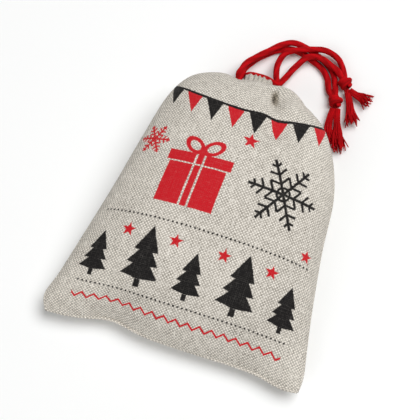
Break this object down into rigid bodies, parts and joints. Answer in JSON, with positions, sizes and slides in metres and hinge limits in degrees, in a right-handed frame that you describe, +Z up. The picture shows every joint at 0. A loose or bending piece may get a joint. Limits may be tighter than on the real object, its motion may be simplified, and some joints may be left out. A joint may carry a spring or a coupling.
{
  "type": "fabric gift sack",
  "caption": "Small stuffed linen-look drawstring gift sack lying on its back, its mouth gathered shut by soft red cords that end in overhand knots with frayed tails.",
  "frame": {"origin": "on the floor, under the middle of the stuffed sack", "axes": "+X across the sack, +Y from the bottom seam to the mouth, +Z up out of the printed front"},
  "size_m": [0.1524, 0.2118, 0.0461],
  "materials": {
    "linen_cloth": "plain weave, matt, printed in black and red",
    "stitch_thread": "matt sewing thread",
    "red_cord": "soft spun cotton, matt"
  },
  "bodies": {
    "sack": {"front_panel": "linen_cloth", "back_panel": "linen_cloth", "left_side_seam": "linen_cloth", "right_side_seam": "linen_cloth", "bottom_seam": "linen_cloth", "back_casing": "linen_cloth", "back_casing_stitch": "stitch_thread", "left_cord_back_run": "red_cord", "right_cord_back_run": "red_cord", "left_cord_bight": "red_cord", "right_cord_bight": "red_cord", "left_front_strand": "red_cord", "left_back_strand": "red_cord", "right_front_strand": "red_cord", "right_back_strand": "red_cord"},
    "front_lip": {"front_casing": "linen_cloth", "front_casing_stitch": "stitch_thread", "left_cord_front_run": "red_cord", "right_cord_front_run": "red_cord"},
    "left_pull": {"left_knot": "red_cord", "left_side_tail": "red_cord", "left_end_tail": "red_cord"},
    "right_pull": {"right_knot": "red_cord", "right_inner_tail": "red_cord", "right_outer_tail": "red_cord"}
  },
  "joints": [
    {"name": "left_cord_draw", "type": "slide", "parent": "sack", "child": "left_pull", "axis": [-0.28, 0.96, 0], "range_m": [0, 0.024], "deforming": ["left_front_strand", "left_back_strand"]},
    {"name": "right_cord_draw", "type": "slide", "parent": "sack", "child": "right_pull", "axis": [-0.28, 0.96, 0], "range_m": [0, 0.024], "deforming": ["right_front_strand", "right_back_strand"]},
    {"name": "mouth_open", "type": "hinge", "parent": "sack", "child": "front_lip", "pos_m": [-0.001, 0.079, 0.0161], "axis": [1, 0, 0], "range_deg": [0, 40], "deforming": ["left_cord_bight", "right_cord_bight"]}
  ],
  "couplings": [
    {"joint": "right_cord_draw", "follows": "left_cord_draw", "ratio": 1},
    {"joint": "mouth_open", "follows": "left_cord_draw", "rad_per_m": 29}
  ]
}
